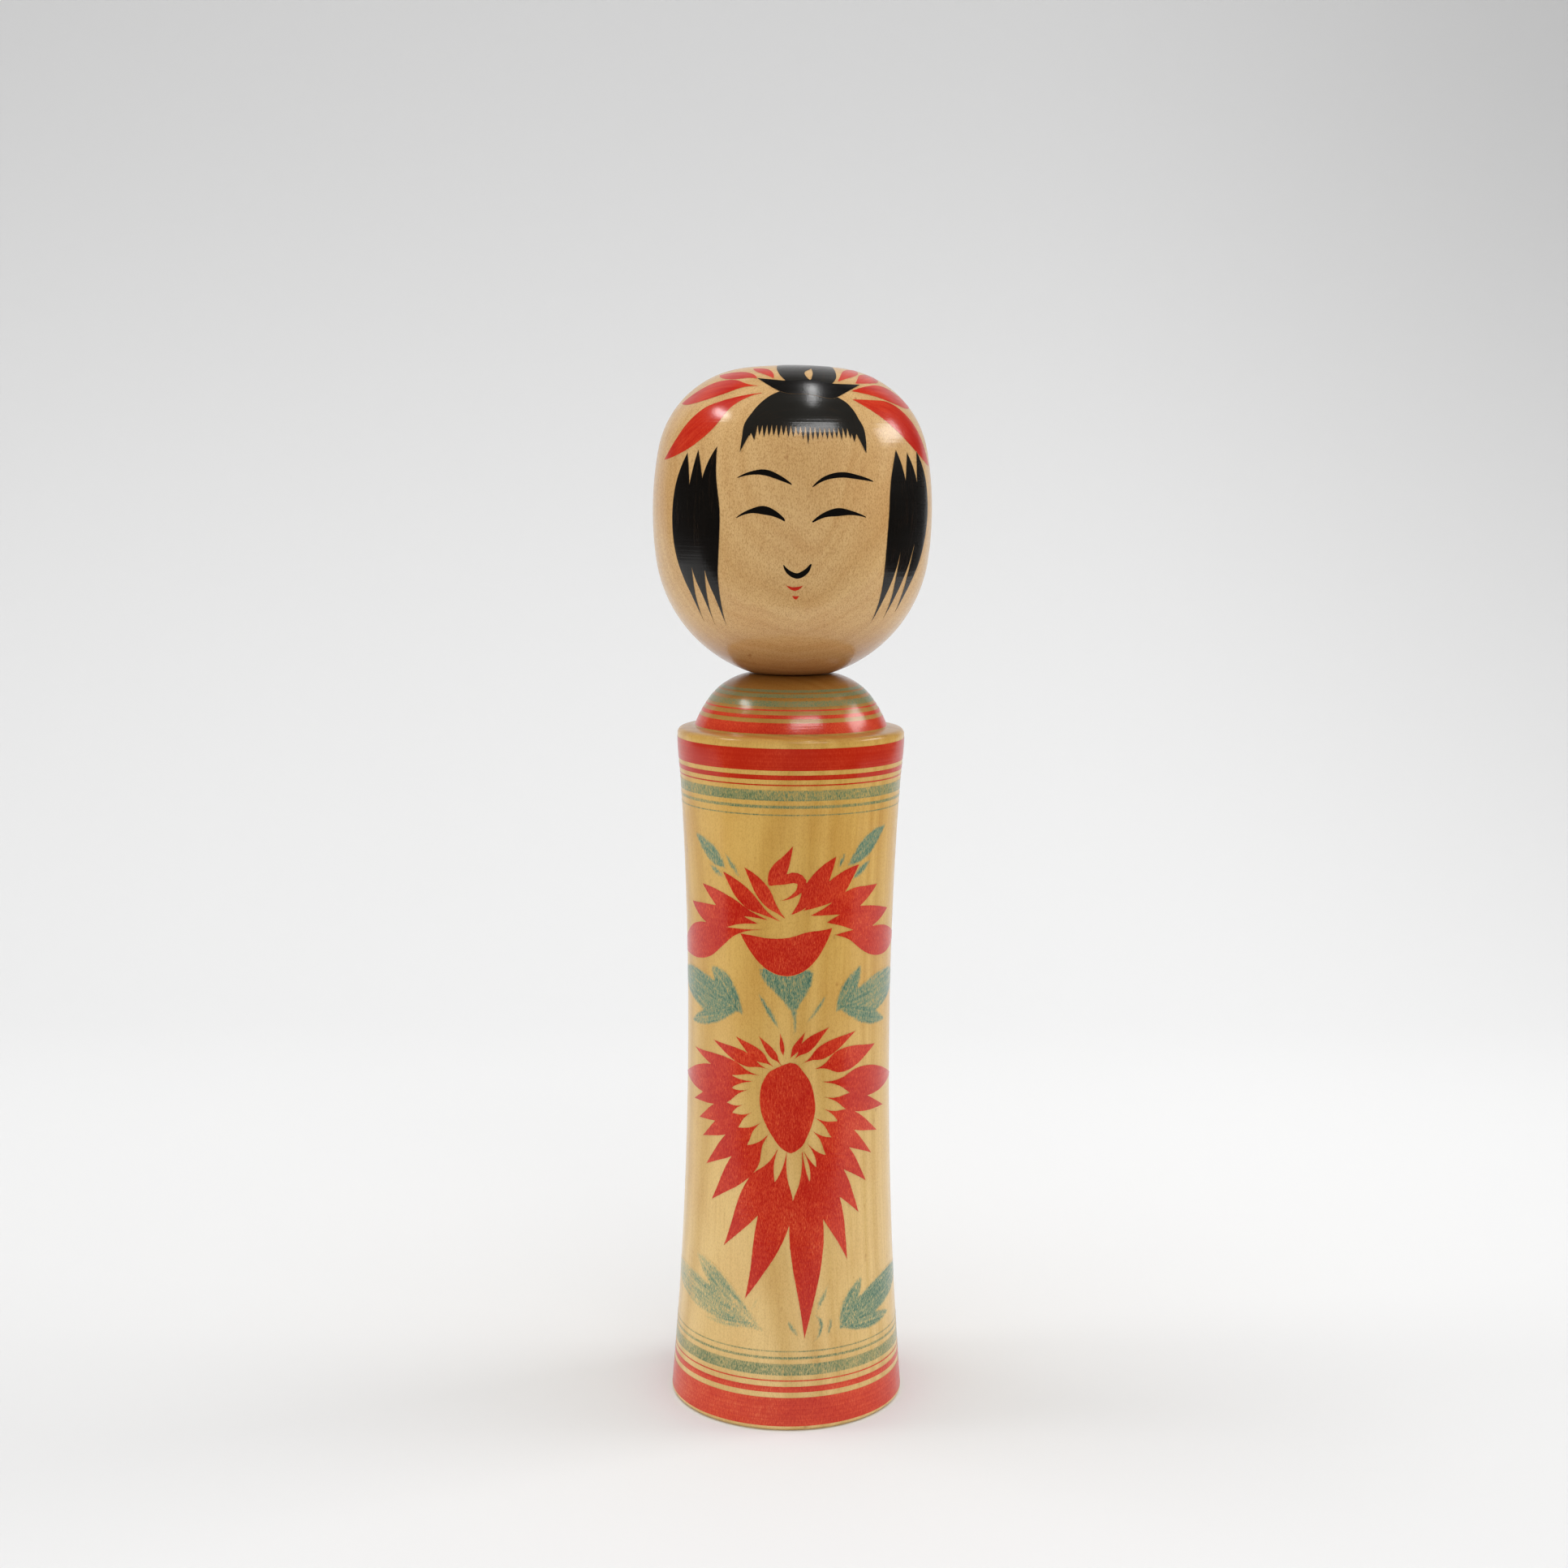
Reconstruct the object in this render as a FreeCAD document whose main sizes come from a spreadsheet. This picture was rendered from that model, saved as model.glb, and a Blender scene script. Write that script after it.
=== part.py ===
import FreeCAD, Part
import os
import Sketcher
from FreeCAD import Vector

# A turned wooden kokeshi doll: a body with a stepped shoulder, and a head whose neck tenon is
# snapped into a socket in the shoulder, so that the head turns on the body.
# Millimetres. The origin is the centre of the foot, +Z is up and the face looks along -Y.
# Both pieces are turned on one axis, so each is a half outline revolved about Z.

NODES = ("body", "head")
TURNING_AXIS = "V_Axis"
ORIGIN_POINT = (-1, 1)
Z_AXIS = -2

# alias, value, what it is
DIMENSIONS = (
    ("foot_radius", 27.55, "radius of the foot before its edge is broken"),
    ("foot_chamfer", 0.7, "bare chamfer round the foot"),
    ("waist_radius", 23.75, "smallest radius of the body"),
    ("waist_height", 90.0, "height of the waist above the table"),
    ("rim_radius", 26.35, "radius of the rim before it is rounded"),
    ("rim_height", 159.5, "height of the rim before it is rounded"),
    ("rim_round", 1.3, "rounding of the rim"),
    ("ledge_height", 160.1, "height of the ledge where it meets the dome"),
    ("dome_radius", 22.3, "radius of the shoulder dome at the ledge"),
    ("dome_side_arc", 28.0, "arc radius of the steep lower part of the dome"),
    ("dome_top_arc", 14.5, "arc radius of the upper part of the dome"),
    ("dome_blend_height", 166.2, "height where the two dome arcs meet"),
    ("seat_height", 172.2, "height of the flat on top of the dome"),
    ("seat_radius", 9.4, "radius of that flat, and of the flat under the head"),
    ("seat_gap", 0.2, "air between the two flats"),
    ("head_length", 69.6, "head without its tenon, so the doll is 242 mm tall"),
    ("head_radius", 31.9, "largest radius of the head"),
    ("crown_arc", 95.0, "arc radius of the nearly flat top of the head"),
    ("crown_edge", 11.2, "radius at which the crown starts to turn down"),
    ("temple_height", 50.8, "height above the neck where temple meets cheek"),
    ("cheek_arc", 77.0, "arc radius of the side of the head"),
    ("cheek_height", 26.0, "height above the neck where cheek meets jaw"),
    ("neck_radius", 6.5, "radius of the tenon's neck"),
    ("neck_length", 5.0, "length of the tenon's neck"),
    ("bulb_radius", 7.1, "radius of the bulb that keeps the head in the body"),
    ("bulb_rise", 2.5, "length over which the neck widens to the bulb"),
    ("bulb_length", 4.0, "length of the straight part of the bulb"),
    ("tip_radius", 5.2, "radius at the end of the tenon"),
    ("tip_length", 5.5, "length of the lead-in taper"),
    ("socket_play", 0.05, "radial running clearance of the tenon in its socket"),
    ("lip_play", 0.1, "axial clearance between the bulb and the socket's lip"),
    ("socket_depth", 19.0, "depth of the socket below the flat"),
)


def make_sheet(doc):
    sheet = doc.addObject("Spreadsheet::Sheet", "dims")
    for row, (alias, value, meaning) in enumerate(DIMENSIONS, start=1):
        sheet.set(f"A{row}", alias)
        sheet.set(f"B{row}", str(value))
        sheet.set(f"C{row}", meaning)
        sheet.setAlias(f"B{row}", alias)
    doc.recompute()
    return sheet


class Outline:
    """A closed half outline in the XZ plane.

    Each piece is drawn near its true place, tied to the end of the piece before it, and then
    pinned by constraints whose values come from the sheet.
    """

    def __init__(self, body, name, start):
        self.sketch = body.newObject("Sketcher::SketchObject", name)
        plane = [item for item in body.Origin.OriginFeatures if item.Role == "XZ_Plane"][0]
        self.sketch.AttachmentSupport = (plane, "")
        self.sketch.MapMode = "FlatFace"
        self.pen = Vector(*start)
        self.pieces = {}
        self.last = None

    def _add(self, name, geometry, target, joint="Coincident"):
        index = self.sketch.addGeometry(geometry, False)
        drawn_forwards = self.sketch.getPoint(index, 1).distanceToPoint(self.pen) < 1e-6
        near, far = (1, 2) if drawn_forwards else (2, 1)
        self.pieces[name] = (index, near, far)
        if self.last:
            self.sketch.addConstraint(Sketcher.Constraint(joint, *self.end(self.last), index, near))
        self.pen = target
        self.last = name

    def line(self, name, x, z):
        target = Vector(x, z)
        self._add(name, Part.LineSegment(self.pen, target), target)

    def arc(self, name, through, x, z, smooth=False):
        """Draw an arc; a smooth one leaves the piece before it along its tangent."""
        target = Vector(x, z)
        joint = "Tangent" if smooth else "Coincident"
        self._add(name, Part.Arc(self.pen, Vector(*through), target), target, joint)

    def start(self, name):
        index, near, _ = self.pieces[name]
        return index, near

    def end(self, name):
        index, _, far = self.pieces[name]
        return index, far

    def centre(self, name):
        return self.pieces[name][0], 3

    def close(self):
        first = next(iter(self.pieces))
        self.sketch.addConstraint(Sketcher.Constraint("Coincident", *self.end(self.last), *self.start(first)))

    def level(self, *names):
        for name in names:
            self.sketch.addConstraint(Sketcher.Constraint("Horizontal", self.pieces[name][0]))

    def upright(self, *names):
        for name in names:
            self.sketch.addConstraint(Sketcher.Constraint("Vertical", self.pieces[name][0]))

    def on_axis(self, point):
        self.sketch.addConstraint(Sketcher.Constraint("PointOnObject", *point, Z_AXIS))

    def _bind(self, label, kind, geometry, expression):
        value = float(self.sketch.evalExpression(expression))
        self.sketch.addConstraint(Sketcher.Constraint(kind, *geometry, value))
        constraint = self.sketch.ConstraintCount - 1
        self.sketch.renameConstraint(constraint, label)
        self.sketch.setExpression(f"Constraints.{label}", expression)

    def at_radius(self, label, point, expression):
        self._bind(label, "DistanceX", (*ORIGIN_POINT, *point), expression)

    def at_height(self, label, point, expression):
        self._bind(label, "DistanceY", (*ORIGIN_POINT, *point), expression)

    def arc_radius(self, name, expression):
        self._bind(f"{name}_radius", "Radius", (self.pieces[name][0],), expression)


def revolve(body, kind, outline, name):
    feature = body.newObject(kind, name)
    feature.Profile = outline.sketch
    feature.ReferenceAxis = (outline.sketch, [TURNING_AXIS])
    feature.Angle = 360
    body.Document.recompute()
    return feature


def circular_edge(feature, radius, height):
    """The name of the feature's circular edge with this radius at this height."""
    for number, edge in enumerate(feature.Shape.Edges, start=1):
        if not isinstance(edge.Curve, Part.Circle):
            continue
        radius_error = abs(edge.Curve.Radius - radius)
        height_error = abs(edge.Curve.Center.z - height)
        if radius_error < 0.01 and height_error < 0.01:
            return f"Edge{number}"
    raise RuntimeError(f"{feature.Label} has no edge of radius {radius} at height {height}")


def body_outline(body):
    """Foot, flared and waisted side, ledge and shoulder dome."""
    outline = Outline(body, "body_outline", (0, 0))
    outline.line("foot", 27.5, 0)
    outline.arc("lower_side", (24.7, 45), 23.7, 90)
    outline.arc("upper_side", (24.4, 125), 26.3, 159.5)
    outline.line("ledge", 22.3, 160.1)
    outline.arc("dome_side", (20.9, 163.4), 19.0, 166.2)
    outline.arc("dome_top", (14.8, 170.0), 9.4, 172.2, smooth=True)
    outline.line("seat", 0, 172.2)
    outline.line("axis", 0, 0)
    outline.close()

    outline.level("foot", "seat")
    outline.on_axis(outline.start("axis"))
    outline.sketch.addConstraint(Sketcher.Constraint("Coincident", *outline.start("foot"), *ORIGIN_POINT))
    outline.at_radius("foot_edge", outline.end("foot"), "dims.foot_radius")
    outline.at_radius("waist_edge", outline.end("lower_side"), "dims.waist_radius")
    outline.at_height("waist_level", outline.end("lower_side"), "dims.waist_height")
    outline.at_height("lower_centre", outline.centre("lower_side"), "dims.waist_height")
    outline.at_height("upper_centre", outline.centre("upper_side"), "dims.waist_height")
    outline.at_radius("rim_edge", outline.end("upper_side"), "dims.rim_radius")
    outline.at_height("rim_level", outline.end("upper_side"), "dims.rim_height")
    outline.at_radius("dome_foot", outline.start("dome_side"), "dims.dome_radius")
    outline.at_height("dome_foot_level", outline.start("dome_side"), "dims.ledge_height")
    outline.arc_radius("dome_side", "dims.dome_side_arc")
    outline.arc_radius("dome_top", "dims.dome_top_arc")
    outline.at_height("dome_blend", outline.end("dome_side"), "dims.dome_blend_height")
    outline.at_radius("seat_edge", outline.start("seat"), "dims.seat_radius")
    outline.at_height("seat_level", outline.start("seat"), "dims.seat_height")
    return outline


def socket_outline(body):
    """The blind socket: a narrow lip at its mouth, then a wider barrel for the bulb."""
    outline = Outline(body, "socket_outline", (0, 153))
    outline.line("floor", 7.2, 153)
    outline.line("barrel", 7.2, 165)
    outline.line("undercut", 6.6, 167.5)
    outline.line("lip", 6.6, 172.2)
    outline.line("mouth", 0, 172.2)
    outline.line("axis", 0, 153)
    outline.close()

    outline.level("floor", "mouth")
    outline.upright("barrel", "lip")
    outline.on_axis(outline.start("floor"))
    outline.on_axis(outline.end("mouth"))
    lip_end = "dims.seat_height + dims.seat_gap - dims.neck_length + dims.lip_play"
    outline.at_radius("barrel_wall", outline.start("barrel"), "dims.bulb_radius + dims.socket_play")
    outline.at_radius("lip_wall", outline.start("lip"), "dims.neck_radius + dims.socket_play")
    outline.at_height("floor_level", outline.start("barrel"), "dims.seat_height - dims.socket_depth")
    outline.at_height("undercut_level", outline.end("barrel"), f"{lip_end} - dims.bulb_rise")
    outline.at_height("lip_level", outline.start("lip"), lip_end)
    outline.at_height("mouth_level", outline.end("lip"), "dims.seat_height")
    return outline


def build_body(doc, sheet):
    body = doc.addObject("PartDesign::Body", "body")
    turned = revolve(body, "PartDesign::Revolution", body_outline(body), "turned_body")
    socket = revolve(body, "PartDesign::Groove", socket_outline(body), "neck_socket")
    bore_volume = 3.14159 * sheet.neck_radius ** 2 * sheet.socket_depth
    if turned.Shape.Volume - socket.Shape.Volume < bore_volume:
        raise RuntimeError("the socket was not cut")

    rim = body.newObject("PartDesign::Fillet", "rounded_rim")
    rim.Base = (socket, [circular_edge(socket, sheet.rim_radius, sheet.rim_height)])
    rim.setExpression("Radius", "dims.rim_round")
    doc.recompute()
    foot = body.newObject("PartDesign::Chamfer", "foot_edge")
    foot.Base = (rim, [circular_edge(rim, sheet.foot_radius, 0)])
    foot.setExpression("Size", "dims.foot_chamfer")
    doc.recompute()
    return body


def head_outline(body):
    """Tenon below, then the flat under the head and the four tangent arcs of its side and top."""
    outline = Outline(body, "head_outline", (0, -17))
    outline.line("tip", 5.2, -17)
    outline.line("lead_in", 7.1, -11.5)
    outline.line("bulb", 7.1, -7.5)
    outline.line("bulb_slope", 6.5, -5)
    outline.line("neck", 6.5, 0)
    outline.line("flat", 9.4, 0)
    outline.arc("jaw", (24.2, 10.1), 31.2, 26.0)
    outline.arc("cheek", (31.9, 38.6), 30.6, 50.8, smooth=True)
    outline.arc("temple", (23.7, 63.2), 11.2, 68.9, smooth=True)
    outline.arc("crown", (5.3, 69.45), 0, 69.6, smooth=True)
    outline.line("axis", 0, -17)
    outline.close()

    outline.level("tip", "flat")
    outline.upright("bulb", "neck")
    outline.on_axis(outline.start("tip"))
    outline.on_axis(outline.end("crown"))
    outline.at_radius("tip_edge", outline.end("tip"), "dims.tip_radius")
    outline.at_radius("bulb_wall", outline.start("bulb"), "dims.bulb_radius")
    outline.at_radius("neck_wall", outline.start("neck"), "dims.neck_radius")
    outline.at_height("neck_bottom", outline.start("neck"), "-dims.neck_length")
    bulb_top = "-dims.neck_length - dims.bulb_rise"
    outline.at_height("bulb_top", outline.end("bulb"), bulb_top)
    outline.at_height("bulb_bottom", outline.start("bulb"), f"{bulb_top} - dims.bulb_length")
    tip_level = f"{bulb_top} - dims.bulb_length - dims.tip_length"
    outline.at_height("tip_level", outline.end("tip"), tip_level)
    outline.sketch.addConstraint(Sketcher.Constraint("PointOnObject", *outline.end("neck"), -1))
    outline.at_radius("flat_edge", outline.end("flat"), "dims.seat_radius")

    outline.at_height("jaw_end", outline.end("jaw"), "dims.cheek_height")
    outline.at_radius("cheek_centre", outline.centre("cheek"), "dims.head_radius - dims.cheek_arc")
    outline.arc_radius("cheek", "dims.cheek_arc")
    outline.at_height("cheek_end", outline.end("cheek"), "dims.temple_height")
    outline.at_radius("temple_end", outline.end("temple"), "dims.crown_edge")
    outline.arc_radius("crown", "dims.crown_arc")
    outline.on_axis(outline.centre("crown"))
    outline.at_height("top_of_head", outline.end("crown"), "dims.head_length")
    return outline


def build_head(doc):
    body = doc.addObject("PartDesign::Body", "head")
    revolve(body, "PartDesign::Revolution", head_outline(body), "turned_head")
    body.setExpression("Placement.Base.z", "dims.seat_height + dims.seat_gap")
    doc.recompute()
    return body


def check(doc):
    for item in doc.Objects:
        if "Invalid" in item.State or "Error" in item.State:
            raise RuntimeError(f"{item.Label} failed: {item.State}")
        if item.TypeId == "Sketcher::SketchObject" and item.solve() != 0:
            raise RuntimeError(f"{item.Label} cannot be solved")
    for name in NODES:
        shape = doc.getObject(name).Shape
        if shape.isNull() or not shape.isValid() or len(shape.Solids) != 1:
            raise RuntimeError(f"{name} is not one valid solid")


def main():
    os.makedirs("parts", exist_ok=True)
    doc = FreeCAD.newDocument("kokeshi")
    sheet = make_sheet(doc)
    build_body(doc, sheet)
    build_head(doc)
    doc.recompute()
    check(doc)
    for name in NODES:
        part = doc.getObject(name)
        part.Shape.exportStep(f"parts/{part.Label}.step")


main()
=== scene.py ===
"""Blender scene for a turned and painted wooden doll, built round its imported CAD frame.

The wood of each half is turned again here as a fine mesh, from the rings of the CAD mesh.
All paint is thin closed shells that lie on the wood, one shell for each stroke of the brush.
Sizes in this script are millimetres and degrees. An angle runs round the axis from the front (0)
to the doll's left (90). A place is a height on the body, or a distance from the crown on the head.
"""

import math

import bpy
import numpy as np
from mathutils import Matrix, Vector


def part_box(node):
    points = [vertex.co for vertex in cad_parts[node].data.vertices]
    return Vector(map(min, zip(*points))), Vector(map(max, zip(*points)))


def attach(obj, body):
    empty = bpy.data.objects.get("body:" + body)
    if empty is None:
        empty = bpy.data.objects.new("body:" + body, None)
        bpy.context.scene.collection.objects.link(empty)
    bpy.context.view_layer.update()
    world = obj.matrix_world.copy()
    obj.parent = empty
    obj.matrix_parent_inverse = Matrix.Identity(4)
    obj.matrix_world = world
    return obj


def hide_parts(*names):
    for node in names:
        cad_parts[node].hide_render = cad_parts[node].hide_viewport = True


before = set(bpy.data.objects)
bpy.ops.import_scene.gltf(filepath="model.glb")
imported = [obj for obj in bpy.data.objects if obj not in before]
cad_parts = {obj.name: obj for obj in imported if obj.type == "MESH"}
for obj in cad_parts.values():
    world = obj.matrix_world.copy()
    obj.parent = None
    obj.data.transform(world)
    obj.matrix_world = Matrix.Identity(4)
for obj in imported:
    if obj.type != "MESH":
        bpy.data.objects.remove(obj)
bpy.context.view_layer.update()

MM = 0.001
FINE_STEP = 0.1          # spacing of the outline points that everything is read from
TURN_SEGMENTS = 256      # facets round each turned piece
CORNER_ANGLE = 25.0      # an outline that turns more than this at one ring has a real corner there
BEND_POINTS = 12.0       # outline points added for each radian that the outline turns
BAND_ROW = 0.35          # height of one row of facets in a painted band
STROKE_ROW = 0.7         # length of one row of facets in a stroke
SHELL_LIFT = 0.03        # how far paint stands proud of the wood
SHELL_SINK = 0.08        # how far its underside is sunk into the wood
STROKE_RISE = 0.0015     # each later stroke of a piece lies this much over the one before
STREAK_SHIFT = 7.3       # how far on each stroke starts in the noise that makes the brush's streaks
SAME_PLACE = 6           # decimals to which two vertices have to agree to be one


# ---- outlines read from the CAD mesh

def cad_rings(node, lowest_radius=0.0, highest_radius=math.inf):
    """(radius, height) of each ring of corners of a turned CAD node, from its foot up."""
    rings = set()
    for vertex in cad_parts[node].data.vertices:
        radius = math.hypot(vertex.co.x, vertex.co.y) / MM
        if lowest_radius <= radius <= highest_radius:
            rings.add((round(vertex.co.z / MM, 3), round(radius, 3)))
    return [(radius, height) for height, radius in sorted(rings)]


def thinned(rings, spacing):
    """The rings without those that lie closer than the spacing to the one kept before."""
    kept = [rings[0]]
    for ring in rings[1:-1]:
        if math.dist(ring, kept[-1]) >= spacing and math.dist(ring, rings[-1]) >= spacing:
            kept.append(ring)
    return kept + [rings[-1]]


def corners(outline):
    """The numbers of the points at which an outline turns sharply."""
    way = np.diff(outline, axis=0)
    heading = np.degrees(np.arctan2(way[:, 1], way[:, 0]))
    turn = np.abs((np.diff(heading) + 180) % 360 - 180)
    return [int(before) + 1 for before in np.flatnonzero(turn > CORNER_ANGLE)]


def split_at_corners(rings):
    """The outline as stretches with no sharp corner inside them."""
    ends = [0, *corners(rings), len(rings) - 1]
    return [rings[start:end + 1] for start, end in zip(ends, ends[1:])]


def length_along(points):
    """How far along a row of points each of them is, measured in their first two columns."""
    return np.concatenate([[0], np.cumsum(np.hypot(*np.diff(points[:, :2], axis=0).T))])


def curve_through(points, count):
    """Evenly spaced points on the smooth curve through a few points (any number of columns)."""
    points = np.array(points, float)
    length = length_along(points)
    slope = np.gradient(points, length, axis=0, edge_order=2 if len(points) > 2 else 1)
    at = np.linspace(0, length[-1], count)
    i = np.clip(np.searchsorted(length, at, side="right") - 1, 0, len(points) - 2)
    gap = (length[i + 1] - length[i])[:, None]
    s = (at - length[i])[:, None] / gap
    return (points[i] * (2 * s**3 - 3 * s**2 + 1) + points[i + 1] * (3 * s**2 - 2 * s**3)
            + slope[i] * gap * (s**3 - 2 * s**2 + s) + slope[i + 1] * gap * (s**3 - s**2))


def smooth_stretch(rings):
    """Fine points on the smooth curve through a stretch of rings."""
    length = length_along(np.array(rings))[-1]
    return curve_through(rings, max(2, int(length / FINE_STEP) + 1))


class Turned:
    """The outside of a turned piece, followed from one end to the other."""

    def __init__(self, rings, spacing):
        self.stretches = [smooth_stretch(part) for part in split_at_corners(thinned(rings, spacing))]
        outline = np.concatenate(self.stretches)
        self.radius, self.height = outline.T
        self.length = length_along(outline)
        out = []
        for part in self.stretches:
            way = np.gradient(part, axis=0)
            way /= np.linalg.norm(way, axis=1)[:, None]
            out.append(np.stack([way[:, 1], -way[:, 0]], axis=1))
        self.out_radius, self.out_height = np.concatenate(out).T

    def points(self, angle, length, lift=0.0):
        """Points on the surface, and the directions that face out of it there."""
        columns = (self.radius, self.height, self.out_radius, self.out_height)
        radius, height, out_radius, out_height = [np.interp(length, self.length, c) for c in columns]
        turn = np.radians(angle)
        radius = radius + out_radius * lift
        height = height + out_height * lift
        where = np.stack([radius * np.sin(turn), -radius * np.cos(turn), height], axis=-1)
        facing = np.stack([out_radius * np.sin(turn), -out_radius * np.cos(turn), out_height], axis=-1)
        return where, facing


class BodySurface(Turned):
    """The body's outside, where a place is a height above the floor."""

    mean_radius = 24.0   # a width on the flat chart is true on a body of this radius

    def length_at(self, height):
        return np.interp(height, self.height, self.length)

    def unroll(self, angle, height):
        return np.stack([np.radians(angle) * self.mean_radius, height], axis=-1)

    def roll(self, flat):
        return np.degrees(flat[..., 0] / self.mean_radius), self.length_at(flat[..., 1])


class HeadSurface(Turned):
    """The head's outside. A place is an angle and a distance down, both as on the chart of the face."""

    chart_radius = 30.0  # the angles on the flat chart are those of a head of this radius
    mean_radius = 31.2   # a width on the chart is true on a head of this radius
    chart_top = 0.7      # the chart starts this far from the middle of the crown

    def unroll(self, angle, distance):
        return np.stack([np.radians(angle) * self.chart_radius, distance], axis=-1)

    def roll(self, flat):
        distance = self.chart_top + flat[..., 1]
        return np.degrees(flat[..., 0] / self.mean_radius), self.length[-1] - distance


class CrownSurface(HeadSurface):
    """The head again for strokes on its top, laid out as seen from above: right, then forward."""

    stretch = 1.03       # how much longer the strokes are on the rounded wood than from above

    def unroll(self, right, forward):
        return np.stack([right, forward], axis=-1)

    def roll(self, flat):
        distance = np.hypot(flat[..., 0], flat[..., 1]) * self.stretch
        return np.degrees(np.arctan2(flat[..., 0], flat[..., 1])), self.length[-1] - distance


# ---- meshes

def new_object(name, vertices, faces):
    """An object in the row frame from points in millimetres."""
    mesh = bpy.data.meshes.new(name)
    mesh.from_pydata((np.asarray(vertices) * MM).tolist(), [], faces)
    mesh.update()
    mesh.shade_smooth()
    made = bpy.data.objects.new(name, mesh)
    bpy.context.scene.collection.objects.link(made)
    return made


def turned_object(name, outline):
    """A closed turned mesh from an outline whose two ends are on the axis; corners are kept sharp."""
    outline = np.array(outline)
    angle = np.linspace(0, 2 * np.pi, TURN_SEGMENTS, endpoint=False)
    radius, height = outline[1:-1].T[:, :, None]
    rings = np.stack([radius * np.sin(angle), -radius * np.cos(angle), height + 0 * angle], axis=-1)
    rings = rings.reshape(-1, 3)
    first, last = len(rings), len(rings) + 1
    top = first - TURN_SEGMENTS
    faces = []
    for low in range(0, top, TURN_SEGMENTS):
        high = low + TURN_SEGMENTS
        for k in range(TURN_SEGMENTS):
            after = (k + 1) % TURN_SEGMENTS
            faces.append((low + k, low + after, high + after, high + k))
    for k in range(TURN_SEGMENTS):
        after = (k + 1) % TURN_SEGMENTS
        faces.append((first, after, k))
        faces.append((top + k, top + after, last))
    ends = [[0, 0, outline[0, 1]], [0, 0, outline[-1, 1]]]
    made = new_object(name, np.concatenate([rings, ends]), faces)
    sharpen_corners(made.data, outline)
    return made


def sharpen_corners(mesh, outline):
    """Marks the edges of every ring at which the outline turns sharply; its first point has no ring."""
    sharp_rings = {number - 1 for number in corners(outline)}
    for edge in mesh.edges:
        ring, other_ring = [vertex // TURN_SEGMENTS for vertex in edge.vertices]
        if ring == other_ring and ring in sharp_rings:
            edge.use_edge_sharp = True


def outline_points(surface, spacing):
    """The surface's outline at about this spacing, with every corner kept and bends closely followed."""
    points = []
    for part in surface.stretches:
        steps = length_along(part)
        way = np.gradient(part, axis=0)
        bend = np.abs(np.gradient(np.unwrap(np.arctan2(way[:, 1], way[:, 0]))))
        pace = np.concatenate([[0], np.cumsum(np.diff(steps) / spacing + BEND_POINTS * bend[1:])])
        count = max(1, math.ceil(pace[-1]))
        at = np.interp(np.linspace(0, pace[-1], count + 1), pace, steps)
        places = zip(*[np.interp(at, steps, column) for column in part.T])
        points += list(places)[1 if points else 0:]
    return points


def shell(points, facings, sink, wrap=False):
    """(vertices, faces, normals) of a closed shell under a grid of points that faces outwards."""
    rows, columns = points.shape[:2]
    top, facing = points.reshape(-1, 3), facings.reshape(-1, 3)
    vertices = np.concatenate([top, top - facing * sink])
    under = rows * columns
    faces = []

    def at(row, column):
        return (row % rows) * columns + column

    def side(a, b, flip):
        faces.append((under + a, under + b, b, a) if flip else (a, b, under + b, under + a))

    for row in range(rows if wrap else rows - 1):
        for column in range(columns - 1):
            a, b = at(row, column), at(row, column + 1)
            c, d = at(row + 1, column + 1), at(row + 1, column)
            faces.append((a, b, c, d))
            faces.append((under + d, under + c, under + b, under + a))
        side(at(row, 0), at(row + 1, 0), False)
        side(at(row, columns - 1), at(row + 1, columns - 1), True)
    for row, flip in () if wrap else ((0, True), (rows - 1, False)):
        for column in range(columns - 1):
            side(at(row, column), at(row, column + 1), flip)
    first, right, down = points[0, 0], points[0, 1], points[1, 0]
    if np.dot(np.cross(right - first, down - first), facings[0, 0]) < 0:
        faces = [face[::-1] for face in faces]
    return vertices, faces, np.concatenate([facing, -facing])


def welded(vertices, faces):
    """Which vertices stay once those at the same place are one, and the faces left on them."""
    found, stay, number = {}, [], []
    for index, place in enumerate(map(tuple, np.round(vertices, SAME_PLACE).tolist())):
        if place not in found:
            found[place] = len(stay)
            stay.append(index)
        number.append(found[place])
    faces = [tuple(dict.fromkeys(number[i] for i in face)) for face in faces]
    return stay, [face for face in faces if len(face) > 2]


def shells_object(name, parts):
    """One object from (shell, depths, flows) parts, with the ink's depth and flow at every vertex."""
    faces, columns = [], ([], [], [], [])
    for (vertices, part_faces, normals), depths, flows in parts:
        start = sum(len(v) for v in columns[0])
        stay, part_faces = welded(vertices, part_faces)
        faces += [tuple(start + i for i in face) for face in part_faces]
        for column, values in zip(columns, (vertices, normals, np.tile(depths, 2), np.tile(flows, (2, 1)))):
            column.append(values[stay])
    vertices, normals, depths, flows = [np.concatenate(column) for column in columns]
    made = new_object(name, vertices, faces)
    made.data.normals_split_custom_set_from_vertices(normals.tolist())
    depth = made.data.attributes.new("ink_depth", "FLOAT", "POINT")
    depth.data.foreach_set("value", depths.astype(np.float32))
    flow = made.data.attributes.new("ink_flow", "FLOAT_VECTOR", "POINT")
    flow.data.foreach_set("vector", flows.astype(np.float32).ravel())
    return made


# ---- strokes of the brush

def between(surface, one_side, other_side, columns=8, spacing=STROKE_ROW):
    """A grid of flat points filling the space between two edges, each a list of (angle, place)."""
    one = surface.unroll(*np.array(one_side, float).T)
    other = surface.unroll(*np.array(other_side, float).T)
    count = max(6, int(max(length_along(one)[-1], length_along(other)[-1]) / spacing))
    one = curve_through(one, count)
    other = curve_through(other, count)
    share = np.linspace(0, 1, columns)[None, :, None]
    return one[:, None] * (1 - share) + other[:, None] * share


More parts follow.
